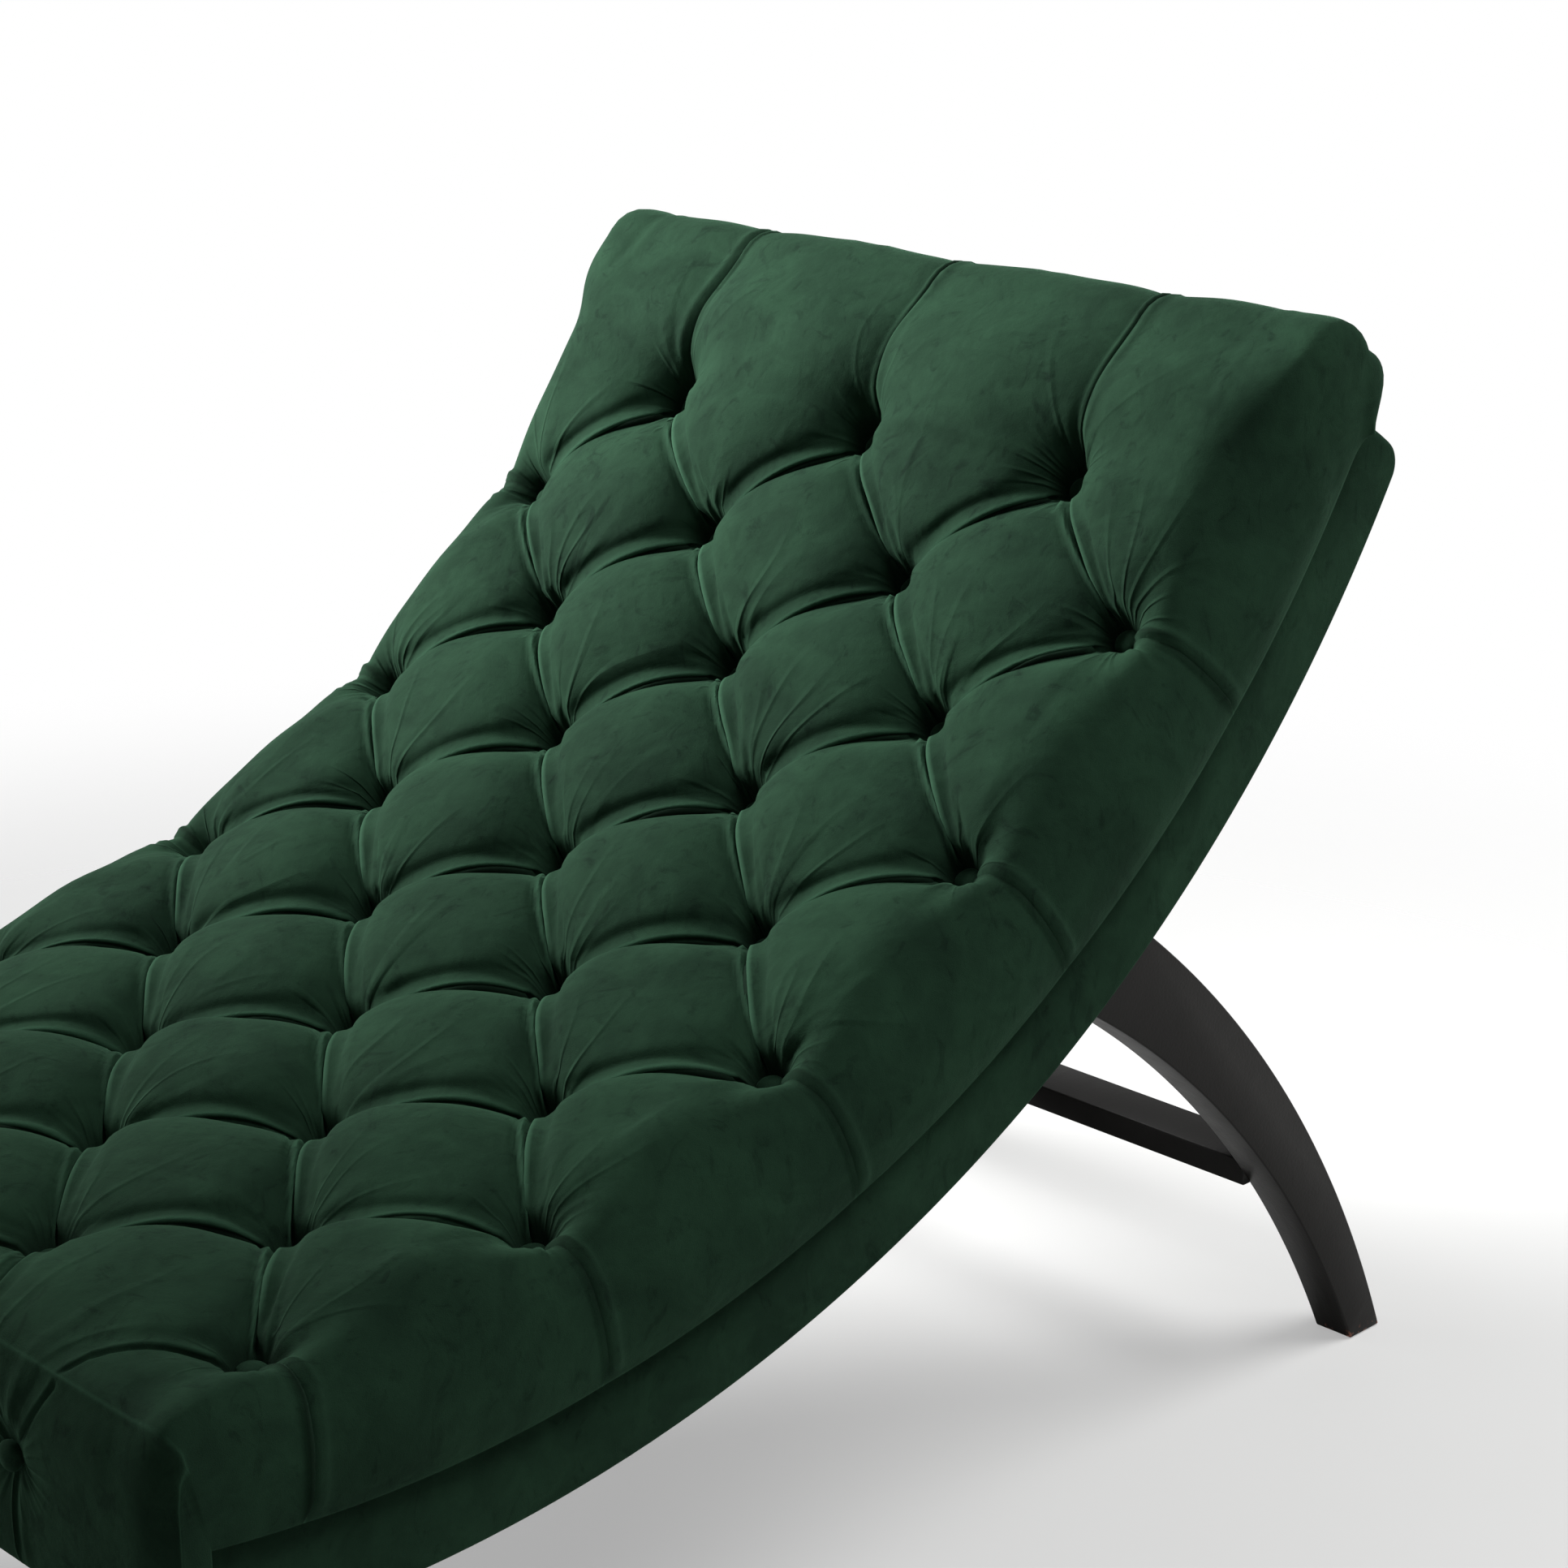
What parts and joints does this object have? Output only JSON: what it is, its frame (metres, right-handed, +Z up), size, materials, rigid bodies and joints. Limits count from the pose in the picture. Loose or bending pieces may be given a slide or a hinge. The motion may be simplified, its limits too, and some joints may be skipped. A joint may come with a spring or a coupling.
{
  "type": "fainting couch",
  "caption": "Armless fainting couch: one deep-buttoned velvet mattress curving up from seat to raised head, on a slim curved upholstered base with dark sabre legs and a rear stretcher.",
  "frame": {"origin": "on the floor, below the middle of the couch's length and width", "axes": "+X towards the raised head, +Y across the couch to the right of a person lying on it with their head up, +Z up"},
  "size_m": [1.289, 0.794, 0.9063],
  "materials": {
    "velvet": "short-pile velvet, dark green",
    "lacquered_wood": "satin black-brown lacquer",
    "rail_timber": "sawn, unfinished",
    "deck_ply": "unfinished plywood",
    "foam": "open-cell foam",
    "dust_cloth": "black non-woven cloth",
    "steel": "zinc-plated"
  },
  "bodies": {
    "root": {"back_rail": "rail_timber", "base_cover": "velvet", "button_10_1": "velvet", "button_10_2": "velvet", "button_10_3": "velvet", "button_10_4": "velvet", "button_11_1": "velvet", "button_11_2": "velvet", "button_11_3": "velvet", "button_1_1": "velvet", "button_1_2": "velvet", "button_1_3": "velvet", "button_2_1": "velvet", "button_2_2": "velvet", "button_2_3": "velvet", "button_2_4": "velvet", "button_3_1": "velvet", "button_3_2": "velvet", "button_3_3": "velvet", "button_4_1": "velvet", "button_4_2": "velvet", "button_4_3": "velvet", "button_4_4": "velvet", "button_5_1": "velvet", "button_5_2": "velvet", "button_5_3": "velvet", "button_6_1": "velvet", "button_6_2": "velvet", "button_6_3": "velvet", "button_6_4": "velvet", "button_7_1": "velvet", "button_7_2": "velvet", "button_7_3": "velvet", "button_8_1": "velvet", "button_8_2": "velvet", "button_8_3": "velvet", "button_8_4": "velvet", "button_9_1": "velvet", "button_9_2": "velvet", "button_9_3": "velvet", "dust_cover": "dust_cloth", "foam_core": "foam", "front_leg_left": "lacquered_wood", "front_leg_left_bolt": "steel", "front_leg_right": "lacquered_wood", "front_leg_right_bolt": "steel", "front_rail": "rail_timber", "head_rail": "rail_timber", "mattress_cover": "velvet", "rear_leg_left": "lacquered_wood", "rear_leg_left_bolt": "steel", "rear_leg_right": "lacquered_wood", "rear_leg_right_bolt": "steel", "rear_stretcher": "lacquered_wood", "seat_deck": "deck_ply", "seat_rail": "rail_timber", "side_rail_left": "rail_timber", "side_rail_right": "rail_timber"}
  },
  "joints": []
}
